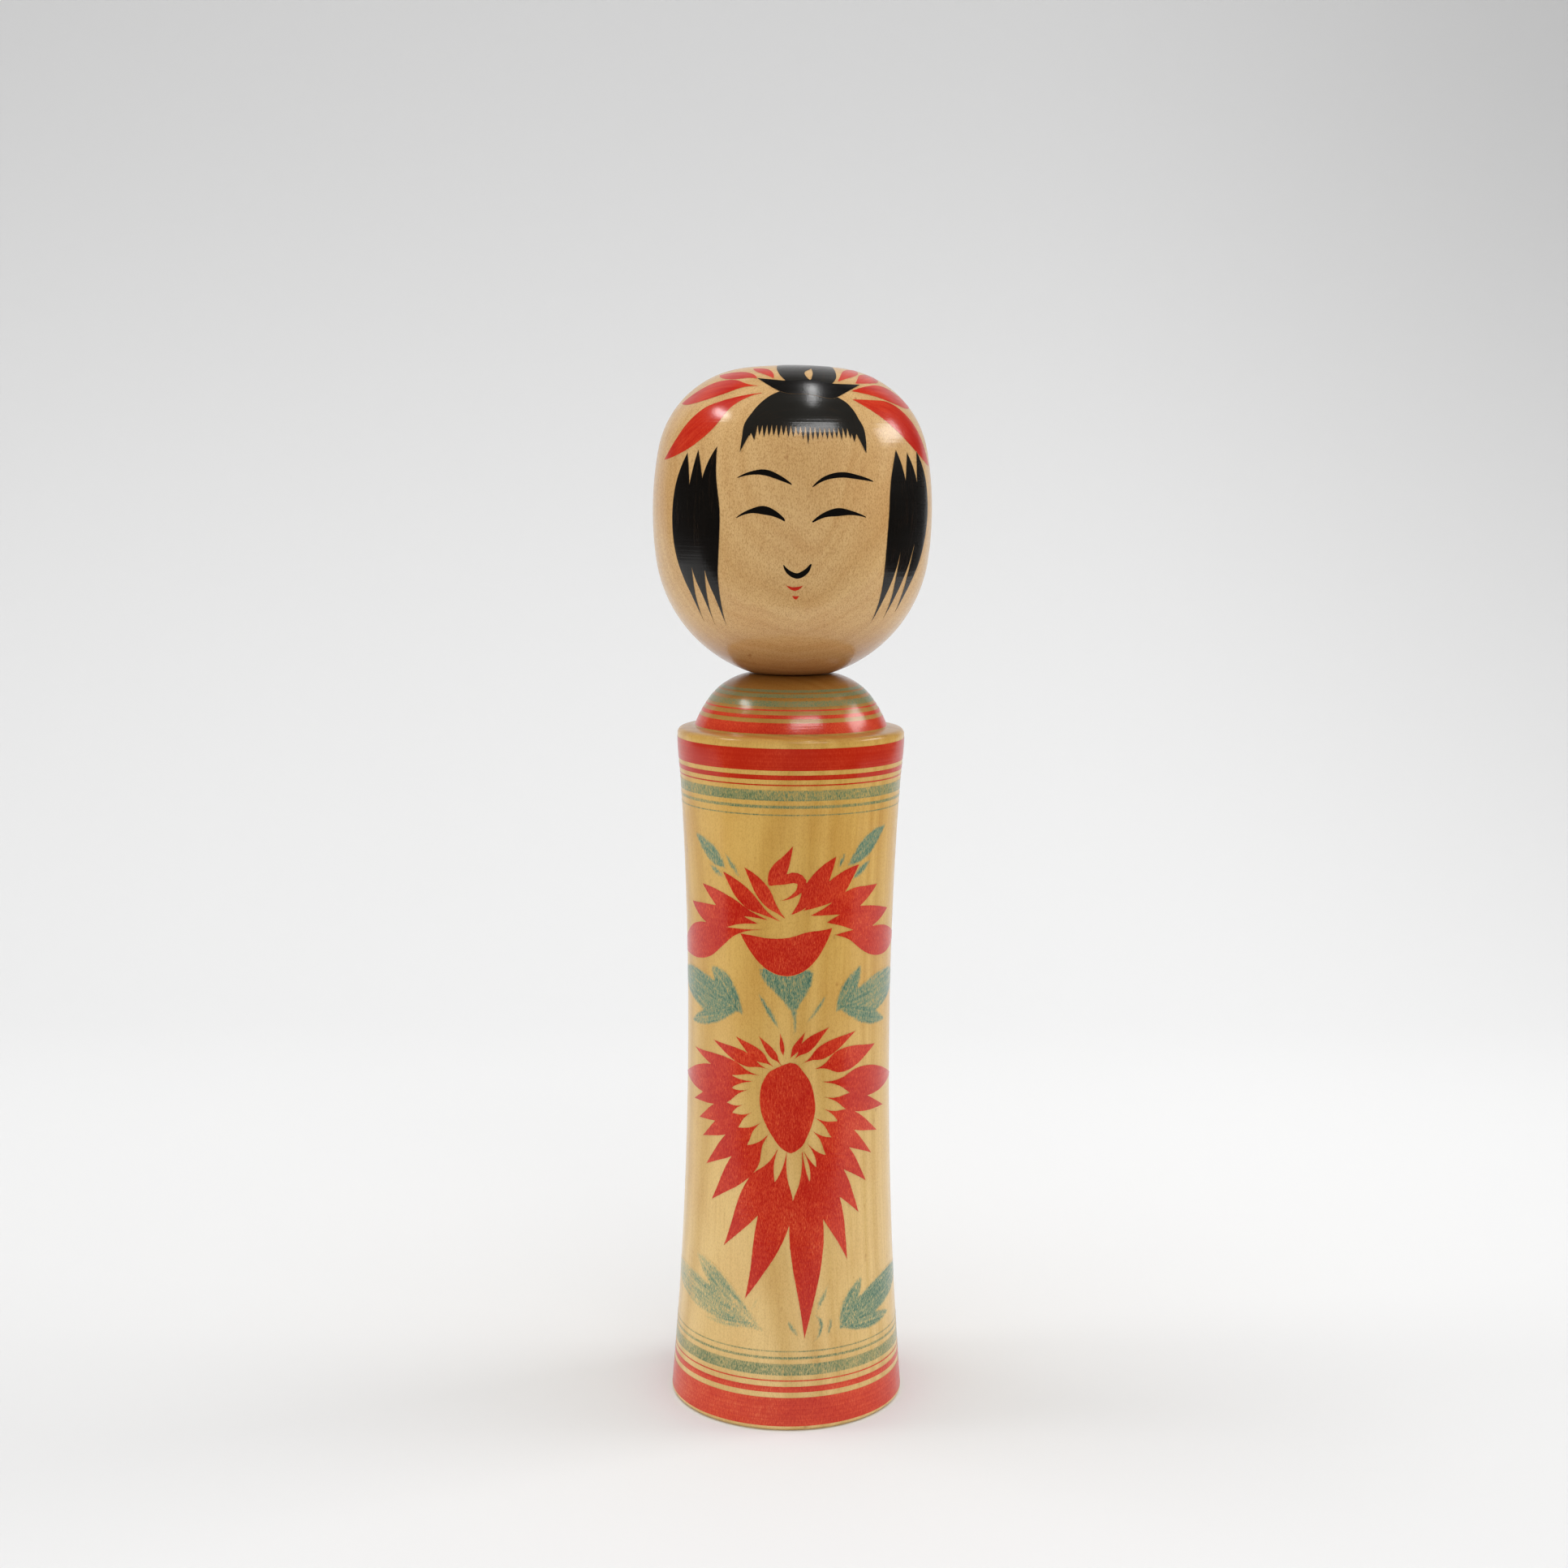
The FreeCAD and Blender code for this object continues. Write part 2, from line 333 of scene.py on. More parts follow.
POINT_WIDTH = 0.05       # width of a stroke where the brush leaves the wood
FEWEST_ROWS = 8          # of points along a stroke


def stroke(surface, path, columns=7, spacing=STROKE_ROW, flat=False):
    """A grid of flat points for one stroke along a path of (angle, place, width)."""
    guide = np.array(path, float)
    if not flat:
        guide[:, :2] = surface.unroll(guide[:, 0], guide[:, 1])
    line = curve_through(guide, max(FEWEST_ROWS, int(length_along(guide)[-1] / spacing)))
    way = np.gradient(line[:, :2], axis=0)
    way /= np.linalg.norm(way, axis=1)[:, None]
    side = np.stack([-way[:, 1], way[:, 0]], axis=1)
    half = np.maximum(line[:, 2], POINT_WIDTH)[:, None] / 2
    share = np.linspace(-1, 1, columns)[None, :, None]
    return line[:, None, :2] + side[:, None] * half[:, None] * share


def strokes(surface, paths, columns=7, spacing=STROKE_ROW):
    return [stroke(surface, path, columns, spacing) for path in paths]


# How wide a petal is, as a share of its greatest width, at shares of the way from tip to root.
PETAL_WIDTHS = ((0, 0), (0.2, 0.43), (0.38, 0.82), (0.55, 1), (0.71, 0.84), (0.84, 0.28), (1, 0.04))


def petal(surface, tip, root, width, bend=0.0):
    """A stroke from a pointed tip through its widest place to a thin root, bowed sideways by the bend."""
    tip, root = surface.unroll(*tip), surface.unroll(*root)
    side = np.array([root[1] - tip[1], tip[0] - root[0]]) / np.linalg.norm(root - tip)
    share, wide = np.array(PETAL_WIDTHS).T
    middle = tip + (root - tip) * share[:, None] + side * bend * (4 * share * (1 - share))[:, None]
    return stroke(surface, np.column_stack([middle, wide * width]), flat=True)


def border(grid):
    """The closed outline of a grid of flat points."""
    return np.concatenate([grid[:, 0], grid[-1, 1:], grid[::-1, -1][1:], grid[0, ::-1][1:-1]])


TINY = 1e-12             # stands in for a length of 0 where something is divided by it


def depth_inside(points, outline):
    """How far each flat point is inside a closed outline; negative outside it."""
    start, end = outline, np.roll(outline, -1, axis=0)
    edge = end - start
    offset = points[:, None] - start[None]
    size = np.maximum((edge**2).sum(-1), TINY)
    share = np.clip((offset * edge).sum(-1) / size, 0, 1)
    gap = np.linalg.norm(offset - share[..., None] * edge, axis=-1).min(axis=1)
    x, y = points[:, :1], points[:, 1:]
    spans = (start[:, 1] > y) != (end[:, 1] > y)
    rise = np.where(edge[:, 1] == 0, TINY, edge[:, 1])
    crossing = start[:, 0] + (y - start[:, 1]) * edge[:, 0] / rise
    inside = (spans & (x < crossing)).sum(axis=1) % 2 == 1
    return np.where(inside, gap, -gap)


def flow_over(grid, number):
    """(along the stroke, across it, which stroke) at each point of a grid, for the brush's streaks."""
    rows, columns = grid.shape[:2]
    along = np.repeat(length_along(grid.mean(axis=1))[:, None], columns, axis=1)
    width = np.linalg.norm(grid[:, -1] - grid[:, 0], axis=1)
    across = width[:, None] * np.linspace(-0.5, 0.5, columns)
    return np.stack([along, across, np.full((rows, columns), STREAK_SHIFT * number)], axis=-1).reshape(-1, 3)


def painted(name, surface, grids, body, material, lift=SHELL_LIFT, beside=()):
    """A piece of paint from its strokes. Ink is deepest far from the border of all the strokes together."""
    borders = [border(grid) for grid in [*grids, *beside]]
    parts = []
    for number, grid in enumerate(grids):
        depths = np.max([depth_inside(grid.reshape(-1, 2), edge) for edge in borders], axis=0)
        height = lift + STROKE_RISE * number
        points, facings = surface.points(*surface.roll(grid), height)
        parts.append((shell(points, facings, SHELL_SINK + height), depths, flow_over(grid, number)))
    return finished(shells_object(name, parts), body, material)


def finished(piece, body, material):
    """The piece, with its material, riding on its body."""
    piece.data.materials.append(material)
    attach(piece, body)
    return piece


def bands(name, surface, places, material):
    """Rings of paint round the body, each from one height to another."""
    angle = np.linspace(0, 360, TURN_SEGMENTS, endpoint=False)
    parts = []
    for low, high in surface.length_at(np.array(places)):
        length = np.linspace(low, high, max(4, int((high - low) / BAND_ROW)))
        turn, along = np.meshgrid(angle, length, indexing="ij")
        points, facings = surface.points(turn, along, SHELL_LIFT)
        flows = np.stack([0 * turn, along, 0 * turn], axis=-1).reshape(-1, 3)
        depths = np.minimum(along - low, high - along).ravel()
        parts.append((shell(points, facings, SHELL_SINK + SHELL_LIFT, wrap=True), depths, flows))
    return finished(shells_object(name, parts), "body", material)


# ---- materials

COAT_SMOOTHER = 0.42     # how rough the coat of wax is, beside the surface below it
MATT_SHINE = 0.05        # what the surface below it mirrors of its own


class Nodes:
    """Adds shader nodes to a material, where an input is either a number or another node's output."""

    def __init__(self, name):
        self.material = bpy.data.materials.new(name)
        self.material.use_nodes = True
        self.tree = self.material.node_tree
        self.surface = self.tree.nodes["Principled BSDF"]

    def add(self, kind, output, settings, inputs):
        node = self.tree.nodes.new("ShaderNode" + kind)
        for setting, value in settings.items():
            setattr(node, setting, value)
        for key, value in inputs.items():
            self.feed(node.inputs[key], value)
        return node.outputs[output]

    def feed(self, socket, value):
        if isinstance(value, bpy.types.NodeSocket):
            self.tree.links.new(value, socket)
        else:
            socket.default_value = value

    def value(self, name, output="Fac"):
        return self.add("Attribute", output, {"attribute_name": name}, {})

    def maths(self, operation, a, b=0.0, c=0.0):
        return self.add("Math", 0, {"operation": operation}, {0: a, 1: b, 2: c})

    def varied(self, level, texture, by):
        """The level, moved up and down by a texture whose values lie round a half."""
        return self.maths("MULTIPLY_ADD", self.maths("SUBTRACT", texture, 0.5), by, level)

    def ramp(self, value, low, high, to_low=0.0, to_high=1.0):
        """The value carried smoothly from one range to another and held at its ends."""
        settings = {"interpolation_type": "SMOOTHSTEP"}
        inputs = {0: value, 1: low, 2: high, 3: to_low, 4: to_high}
        return self.add("MapRange", 0, settings, inputs)

    def mix(self, share, a, b):
        inputs = {0: share, 6: a, 7: b}
        return self.add("Mix", 2, {"data_type": "RGBA", "clamp_factor": True}, inputs)

    def tint(self, share, colour, by):
        """The colour multiplied by another one, as far as the share says."""
        settings = {"data_type": "RGBA", "blend_type": "MULTIPLY", "clamp_factor": True}
        return self.add("Mix", 2, settings, {0: share, 6: colour, 7: by})

    def noise(self, where, scale, detail=2.0, rough=0.5):
        inputs = {"Vector": where, "Scale": scale, "Detail": detail, "Roughness": rough}
        return self.add("TexNoise", 0, {}, inputs)

    def mapped(self, where, scale=(1.0,) * 3, moved=(0.0,) * 3, turned=(0.0,) * 3):
        inputs = {"Vector": where, "Location": moved, "Rotation": turned, "Scale": scale}
        return self.add("Mapping", 0, {}, inputs)

    def place(self):
        """The point's place in millimetres, which turns with the piece."""
        where = self.add("TexCoord", "Object", {}, {})
        return self.mapped(where, (1 / MM,) * 3)

    def split(self, vector):
        node = self.tree.nodes.new("ShaderNodeSeparateXYZ")
        self.feed(node.inputs[0], vector)
        return node.outputs

    def join(self, x, y, z):
        return self.add("CombineXYZ", 0, {}, {0: x, 1: y, 2: z})

    def finish(self, colour, roughness, height, depth, gloss=0.75):
        """Set the surface's inputs: matt below, with a clear coat of wax as strong as the gloss."""
        coat = self.maths("MULTIPLY", roughness, COAT_SMOOTHER)
        bump = {"Height": height, "Distance": depth * MM, "Strength": 1.0}
        normal = self.add("Bump", 0, {}, bump)
        inputs = {"Base Color": colour, "Roughness": roughness, "Specular IOR Level": MATT_SHINE,
                  "Coat Weight": gloss, "Coat Roughness": coat, "Normal": normal, "Coat Normal": normal}
        for name, value in inputs.items():
            self.feed(self.surface.inputs[name], value)
        return self.material


def grey(level):
    return (level, level, level, 1.0)


def light_of(*screen):
    """A screen colour (red, green and blue from 0 to 255) as the light it stands for."""
    light = [((c / 255 + 0.055) / 1.055) ** 2.4 if c > 10 else c / (255 * 12.92) for c in screen]
    return (*light, 1.0)


BODY_PALE = light_of(228, 195, 130)  # the body's wood between its dark lines
BODY_LINE = light_of(211, 174, 104)  # the dark side of each year's growth
UPPER_YELLOW = light_of(243, 230, 188)  # how much darker and yellower the upper body is than the lower
HEAD_PALE = light_of(216, 178, 122)
HEAD_LINE = light_of(203, 161, 104)
FIBRE = light_of(200, 170, 130)
PORE = light_of(180, 150, 105)
PATCH = light_of(228, 196, 156)
STAIN = light_of(170, 105, 50)
BROWN_TINT = light_of(168, 112, 58)  # the brown that darkens the shoulder dome, and that stands in for the shade under the jaw
BUMP_DEPTH = 0.026       # full height of the turning lines

# How fine the wood's textures are across its grain (x and y) and along it (z).
WANDER_GRAIN = (0.05, 0.05, 0.008)
FIBRE_GRAIN = (1.9, 1.9, 0.09)
PORE_GRAIN = (4.5, 4.5, 1.9)
SPOT_GRAIN = (1.0, 1.0, 0.7)
OPEN_GRAIN = (3.0, 3.0, 0.3)

# How the blanks are moved and turned (in radians) to bring the tree's middle onto the axis.
BODY_PITH = (-31.0, -46.0, 0.0)
HEAD_PITH = (-52.0, -60.0, 30.0)
HEAD_SLANT = (0.2, 0.3, 0.0)


def wood_colour(nodes, where, pale, line, across, sway, mottled, brown_and_shade):
    """Aged white wood: yearly lines by the place across the grain, flecks and stains, then a brown tint
    (under the jaw it is painted shade).
    """
    wander = nodes.noise(nodes.mapped(where, WANDER_GRAIN), 1.0)
    across = nodes.maths("MULTIPLY_ADD", wander, sway, across)
    years = nodes.noise(nodes.join(across, 0.0, 0.0), 0.36, 2.0, 0.6)
    colour = nodes.mix(nodes.ramp(years, 0.3, 0.72), pale, line)
    fibre = nodes.noise(nodes.mapped(where, FIBRE_GRAIN), 1.0, 3.0, 0.65)
    colour = nodes.tint(nodes.ramp(fibre, 0.45, 0.7, 0.0, 0.15), colour, FIBRE)
    pores = nodes.noise(nodes.mapped(where, PORE_GRAIN), 1.0, 2.0, 0.7)
    colour = nodes.tint(nodes.ramp(pores, 0.42, 0.7, 0.0, mottled), colour, PORE)
    patches = nodes.noise(where, 0.055)
    colour = nodes.tint(nodes.ramp(patches, 0.42, 0.72, 0.0, 0.2), colour, PATCH)
    spots = nodes.noise(nodes.mapped(where, SPOT_GRAIN, moved=(3.0, 8.0, 1.0)), 0.28, 2.0, 0.65)
    colour = nodes.tint(nodes.ramp(spots, 0.68, 0.80, 0.0, 0.5), colour, STAIN)
    return nodes.tint(brown_and_shade, colour, BROWN_TINT)


def from_axis(nodes, where):
    """Distance from the upright line through the origin."""
    x, y, z = nodes.split(where)
    return nodes.maths("SQRT", nodes.maths("MULTIPLY_ADD", x, x, nodes.maths("MULTIPLY", y, y)))


def turning_lines(nodes, where):
    """Fine rings that the chisel and the sandpaper leave round a turned piece."""
    z = nodes.split(where)[2]
    return nodes.noise(nodes.join(from_axis(nodes, where), z, 0.0), 1.3, 3.0, 0.6)


def wood_finish(nodes, where):
    """(roughness, bump height) of waxed wood: turning lines, open fibres and handled, duller patches."""
    lines = turning_lines(nodes, where)
    fibre = nodes.noise(nodes.mapped(where, OPEN_GRAIN), 1.0)
    dull = nodes.noise(where, 0.12, 3.0, 0.6)
    height = nodes.maths("MULTIPLY_ADD", fibre, 0.5, lines)
    roughness = nodes.maths("MULTIPLY_ADD", dull, 0.22, nodes.ramp(lines, 0.2, 0.8, 0.24, 0.34))
    return roughness, height


def body_wood_at(nodes, where):
    """The body's wood, browner on the shoulder dome and the ledge."""
    z = nodes.split(where)[2]
    ledge = nodes.ramp(z, 157.0, 160.5, 0.0, 0.5)
    dome = nodes.ramp(z, 161.0, 172.0, -0.1, 0.22)
    across = from_axis(nodes, nodes.mapped(where, moved=BODY_PITH))
    brown_and_shade = nodes.maths("ADD", ledge, dome)
    colour = wood_colour(nodes, where, BODY_PALE, BODY_LINE, across, 3.0, 0.26, brown_and_shade)
    return nodes.tint(nodes.ramp(z, 30.0, 125.0), colour, UPPER_YELLOW)


def head_wood_at(nodes, where):
    """The head's wood, cut at a slant, with painted shade under the jaw, where it is browner towards its
    lower end.
    """
    z = nodes.split(where)[2]
    # Painted shade: browner towards the underside of the jaw.
    brown_and_shade = nodes.ramp(z, 187.0, 171.0, 0.0, 0.8)
    across = from_axis(nodes, nodes.mapped(where, moved=HEAD_PITH, turned=HEAD_SLANT))
    return wood_colour(nodes, where, HEAD_PALE, HEAD_LINE, across, 9.0, 0.5, brown_and_shade)


def bare_wood(name, wood_at):
    nodes = Nodes(name)
    where = nodes.place()
    roughness, height = wood_finish(nodes, where)
    return nodes.finish(wood_at(nodes, where), roughness, height, BUMP_DEPTH)


def ink(name, wood_at, deep, thin, feather, ragged, cover, streaks, grain):
    """Paint over wood, with a deep colour where it is thick and another where it is thin.

    It fades over the feather at its ragged border, both in millimetres. Within, its cover varies
    along the brush's streaks and from speck to speck of the grain.
    """
    nodes = Nodes(name)
    where = nodes.place()
    wood = wood_at(nodes, where)
    fray = nodes.noise(nodes.mapped(where, (3.2, 3.2, 0.9)), 1.0, 2.0, 0.6)
    held = nodes.ramp(nodes.varied(nodes.value("ink_depth"), fray, ragged), 0.0, feather)
    flow = nodes.value("ink_flow", "Vector")
    streak = nodes.noise(nodes.mapped(flow, (0.10, 1.5, 1.0)), 1.0, 3.0, 0.6)
    speck = nodes.noise(nodes.mapped(where, (5.0, 5.0, 1.3)), 1.0, 3.0, 0.7)
    patch = nodes.noise(where, 0.11)
    load = nodes.varied(nodes.varied(cover, streak, streaks), speck, grain)
    load = nodes.varied(load, patch, 0.5)
    share = nodes.maths("MULTIPLY", held, nodes.ramp(load, 0.0, 0.75))
    paint = nodes.mix(nodes.ramp(load, 0.45, 1.15), thin, deep)
    roughness, height = wood_finish(nodes, where)
    return nodes.finish(nodes.mix(share, wood, paint), roughness, height, BUMP_DEPTH)


RED_DEEP = light_of(180, 18, 0)
RED_WARM = light_of(181, 32, 0)  # the rim's bands, which are a little more orange
RED_THIN = light_of(222, 78, 42)
GREEN_DEEP = light_of(54, 82, 58)
GREEN_THIN = light_of(124, 138, 96)
LEAF_DEEP = light_of(66, 102, 86)
LEAF_THIN = light_of(122, 146, 114)
BLACK_DEEP = light_of(14, 11, 8)
BLACK_THIN = light_of(62, 42, 24)
BLACK_GREYER = light_of(30, 28, 24)  # a greyer black, for the hair on top


# ---- the two turned pieces

SOCKET_RADIUS = 8.0      # CAD rings nearer the axis than this belong to the socket or the tenon


def body_of_wood(surface):
    socket = cad_rings("body", 0.0, SOCKET_RADIUS)[::-1]
    foot = surface.height[0]
    outline = [(0.0, foot)] + outline_points(surface, spacing=1.6) + socket + [(0.0, socket[-1][1])]
    piece = turned_object("body_wood", outline)
    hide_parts("body")
    return finished(piece, "body", bare_wood("body wood", body_wood_at))


def rings_above_neck():
    """The head's rings that stand over the body, from the first one that is wider than the socket."""
    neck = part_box("body")[1].z / MM
    rings = [ring for ring in cad_rings("head") if ring[1] > neck]
    first_wide = [radius > SOCKET_RADIUS for radius, height in rings].index(True)
    return rings[first_wide:]


def head_of_wood(surface):
    # The tenon's rings, without its middle point and without the neck's own ring.
    neck = surface.height[0]
    tenon = [ring for ring in cad_rings("head", 0.1, surface.radius[0] - 0.1) if ring[1] <= neck]
    outline = [(0.0, tenon[0][1])] + tenon + outline_points(surface, spacing=1.0)
    piece = turned_object("head_wood", outline)
    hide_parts("head")
    return finished(piece, "head", bare_wood("head wood", head_wood_at))


# ---- floor, light and camera

PAPER_SIDES = (-1000.0, 620.0)
PAPER_NEAR = -600.0      # the paper's near edge
PAPER_FRONT = -150.0     # the front edge of what the gloss shows
PAPER_BACK = 350.0       # where the paper starts to rise
PAPER_CURVE = 500.0
PAPER_STEPS = 24
PAPER_TOP = 1500.0


def paper_sheet(name, profile):
    """A sheet of the pale paper the doll stands on, along a profile of (back, up)."""
    vertices = [(side, y, z) for y, z in profile for side in PAPER_SIDES]
    faces = [(2 * i, 2 * i + 1, 2 * i + 3, 2 * i + 2) for i in range(len(profile) - 1)]
    sheet = new_object(name, vertices, faces)
    nodes = Nodes(name)
    where = nodes.place()
    tooth = nodes.noise(where, 1.2, 3.0)
    x, y, z = nodes.split(where)
    # Painted shade: its colour darkens upwards, towards the camera and far out to the right, as the light
    # falls off there.
    level = nodes.ramp(z, -100.0, 600.0, 0.86, 0.63)
    for edge in (nodes.ramp(y, -50.0, 300.0, 0.93, 1.0), nodes.ramp(x, 120.0, 480.0, 1.0, 0.9)):
        level = nodes.maths("MULTIPLY", level, edge)
    nodes.finish(nodes.mix(level, grey(0.0), grey(1.0)), 0.9, tooth, 0.02, 0.0)
    sheet.data.materials.append(nodes.material)
    return sheet


def backdrop():
    """A pale floor that sweeps up behind the doll; its nearest part is kept off the gloss."""
    profile = [(PAPER_FRONT, 0.0), (0.0, 0.0), (PAPER_BACK, 0.0)]
    for step in range(1, PAPER_STEPS + 1):
        turn = math.radians(90 * step / PAPER_STEPS)
        profile.append((PAPER_BACK + PAPER_CURVE * math.sin(turn), PAPER_CURVE * (1 - math.cos(turn))))
    profile.append((PAPER_BACK + PAPER_CURVE, PAPER_TOP))
    paper_sheet("floor_sweep", profile)
    near = paper_sheet("floor_near", [(PAPER_NEAR, 0.0), (PAPER_FRONT, 0.0)])
    near.visible_glossy = False


def softbox(aim, gives, name, towards, distance, width, height, power):
    """A rectangular lamp in a direction from the aim. It gives only its light or only its glint."""
    data = bpy.data.lights.new(name, "AREA")
    data.shape = "RECTANGLE"
    data.size = width
    data.size_y = height
    data.energy = power
    lamp = bpy.data.objects.new(name, data)
    bpy.context.scene.collection.objects.link(lamp)
    way = Vector(towards).normalized()
    lamp.location = Vector(aim) + way * distance
    lamp.rotation_euler = way.to_track_quat("Z", "Y").to_euler()
    lamp.visible_glossy = gives == "glint"
    lamp.visible_diffuse = gives == "light"


ROOM_LIGHT = 0.55        # what the room gives from all round
ROOM_MIRRORED = 0.04     # how bright the gloss shows it, away from the lamps
ROOM_SEEN = 0.85         # how bright the camera sees it past the paper


def surroundings():
    """A room that lights the doll from all round, and whose image in the gloss is dark."""
    world = bpy.data.worlds.new("studio")
    world.use_nodes = True
    tree = world.node_tree
    path = tree.nodes.new("ShaderNodeLightPath")
    colour, strength = tree.nodes["Background"].inputs[:2]
    colour.default_value = grey(1.0)
    for ray, level in (("Is Camera Ray", ROOM_SEEN), ("Is Glossy Ray", ROOM_MIRRORED)):
        mix = tree.nodes.new("ShaderNodeMix")
        tree.links.new(mix.outputs[0], strength)
        tree.links.new(path.outputs[ray], mix.inputs[0])
        mix.inputs[3].default_value = level
        strength = mix.inputs[2]
    strength.default_value = ROOM_LIGHT
    bpy.context.scene.world = world


def lights():
    """The lamps, by name and direction, then distance, width and height in metres, and watts."""
    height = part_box("head")[1].z
    middle = (0.0, 0.0, height * 0.6)
    low = (0.0, 0.0, height * 0.2)
    for lamp in (("ceiling", (0.0, -0.1, 1.0), 0.9, 0.9, 0.6, 3.3),
                 ("front", (0.20, -0.66, 0.72), 1.0, 0.4, 0.2, 0.7),
                 ("right", (0.83, 0.19, 0.56), 0.8, 0.3, 0.3, 1.5),
                 ("left", (-0.5, 0.1, 0.86), 0.8, 0.3, 0.3, 1.0)):
        softbox(middle, "light", *lamp)
    for lamp in (("glint_top", (0.16, 0.02, 0.99), 0.9, 0.45, 0.05, 1.2),
                 ("glint_front", (0.26, -0.63, 0.73), 1.0, 0.55, 0.14, 2.5),
                 ("glint_right", (0.85, 0.13, 0.52), 0.8, 0.36, 0.18, 1.5),
                 ("glint_left", (-0.64, 0.0, 0.76), 0.8, 0.24, 0.06, 0.9)):
        softbox(middle, "glint", *lamp)
    for lamp in (("left_side", (-0.95, -0.08, 0.24), 1.8, 0.5, 0.5, 5.8),
                 ("right_side", (0.95, -0.08, 0.24), 1.8, 0.5, 0.5, 3.6),
                 ("low_front", (0.0, -1.0, 0.1), 0.6, 0.5, 0.15, 0.4)):
        softbox(low, "light", *lamp)
    bpy.context.scene.view_settings.view_transform = "Standard"


EYE = (-0.0062, -2.0876, 0.8938)  # the camera's place, in doll heights
LOOK_DOWN = 7.90         # degrees
ROLL = 0.38              # degrees
LENS = 50.3              # focal length on a sensor 36 mm wide
NEAREST_SEEN = 0.01      # metres


def camera():
    """The point of view, as far off as the doll's height asks."""
    data = bpy.data.cameras.new("camera")
    data.sensor_width = 36.0
    data.lens = LENS
    data.clip_start = NEAREST_SEEN
    eye = bpy.data.objects.new("camera", data)
    bpy.context.scene.collection.objects.link(eye)
    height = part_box("head")[1].z
    eye.location = [share * height for share in EYE]
    tilt = Matrix.Rotation(math.radians(90) - math.radians(LOOK_DOWN), 3, "X")
    eye.rotation_euler = (tilt @ Matrix.Rotation(math.radians(ROLL), 3, "Z")).to_euler()
    bpy.context.scene.camera = eye


# ---- paint on the head

FRINGE_NOTCHES = 34.3    # distance from the crown at which the fringe splits into teeth
TOOTH_PITCH = 2.1        # degrees
TOOTH_WIDTH = 1.2
TOOTH_LENGTH = 2.3
LOW_TEETH = 6.6          # the angle at which the teeth hang lowest


def fringe(head):
    """A cap of black over the brow, cut into fine teeth along its lower edge."""
    top = [(-21.4, 34.8), (-20.6, 32.5), (-19, 30.4), (-16.3, 28.4), (-12.9, 26.6), (-8.1, 25.1),
           (-3.4, 24.3), (7, 24), (17.8, 25.1), (23.2, 26.6), (27.3, 28.2), (29.8, 30.4), (31.3, 32.9),
           (32.2, 35.2)]
    hem = [(-21.4, 34.9), (-16, 34.1), (4, 34.3), (24, 34.6), (32.2, 35.3)]
    grids = [between(head, top, hem, columns=12)]
    for number, angle in enumerate(np.arange(-18.9, 27, TOOTH_PITCH)):
        notch = FRINGE_NOTCHES + 0.4 * (angle > 10)  # a little lower on the doll's left
        drop = 2.0 * math.exp(-((angle - LOW_TEETH) / 2.0)**2)
        end = notch + TOOTH_LENGTH + 0.3 * math.sin(2.4 * number) + drop
        tooth = [(angle, notch - TOOTH_WIDTH, TOOTH_WIDTH), (angle, notch, 1.0), (angle, end, 0)]
        grids.append(stroke(head, tooth, 4, 0.3))
    return grids + strokes(head, [
        [(-18, 33, 2.4), (-17.4, 35.2, 1.5), (-16.7, 37.4, 0)],
        [(27.4, 33, 2.2), (27.1, 35.3, 1.5), (26.9, 37.6, 0)],
        [(-18.4, 30.8, 0.6), (-19.8, 34, 2.5), (-21.2, 37, 1.3), (-22.8, 40, 0)],
        [(28.8, 31.2, 0.6), (30.1, 34.6, 2.5), (31.2, 37.5, 1.5), (32.1, 40, 0)]], 5, 0.5)


def topknot(crown):
    """Two locks drawn up behind the bow, with a sliver of bare wood between them."""
    left = [(-1.5, 21.5), (-2.8, 19), (-3.5, 16), (-3.6, 12), (-3.3, 8), (-1.8, 4.6), (2.6, 3)]
    left_inside = [(3.6, 20.6), (2.4, 17.2), (3.7, 14.2), (3.4, 11), (3.1, 8), (2.8, 5), (2.6, 3)]
    right_inside = [(3.7, 20.6), (4.1, 17.2), (3.8, 14.2), (3.4, 11), (3.1, 8), (2.8, 5), (2.7, 3)]
    right = [(8.3, 21), (9.3, 17.6), (9.1, 14), (8.7, 11), (8.3, 8), (7.1, 4.8), (2.7, 3)]
    return [between(crown, left, left_inside), between(crown, right_inside, right)]


def bow(crown):
    """A stiff black bow across the front of the topknot."""
    back = [(-7.9, 18.5), (-5, 20.1), (-1.5, 21.2), (3.5, 20.5), (8.3, 20.5), (11.8, 18.8), (14.8, 16.6)]
    front = [(-7.9, 18.5), (-6.3, 21.2), (-4.4, 23.6), (-2.3, 25.2), (3.5, 25.6), (9.3, 25.2), (11.2, 23),
             (13.1, 20), (14.8, 16.6)]
    return [between(crown, back, front)]


def ribbons_left(crown):
    return strokes(crown, [
        [(-38, 15.7, 0), (-32.5, 20.5, 4), (-26.5, 23.1, 7.2), (-20.5, 24.2, 7.3), (-14.5, 24, 2.8),
         (-6.8, 24.4, 0.2)],
        [(-26.7, 8, 0), (-23.5, 12, 4.2), (-18.5, 15.5, 6.4), (-14, 18.2, 4.8), (-10.5, 20.3, 1.2),
         (-7.5, 21.9, 0.2)],
        [(-16.3, 7.3, 0), (-14.2, 11.5, 3.3), (-11.3, 14.8, 3.6), (-9, 17, 1.6), (-7.9, 18.6, 0.2)],
        [(-8.8, 11, 0), (-7, 14, 2.6), (-5.6, 16.5, 2.2), (-4.3, 19.8, 0.2)]])


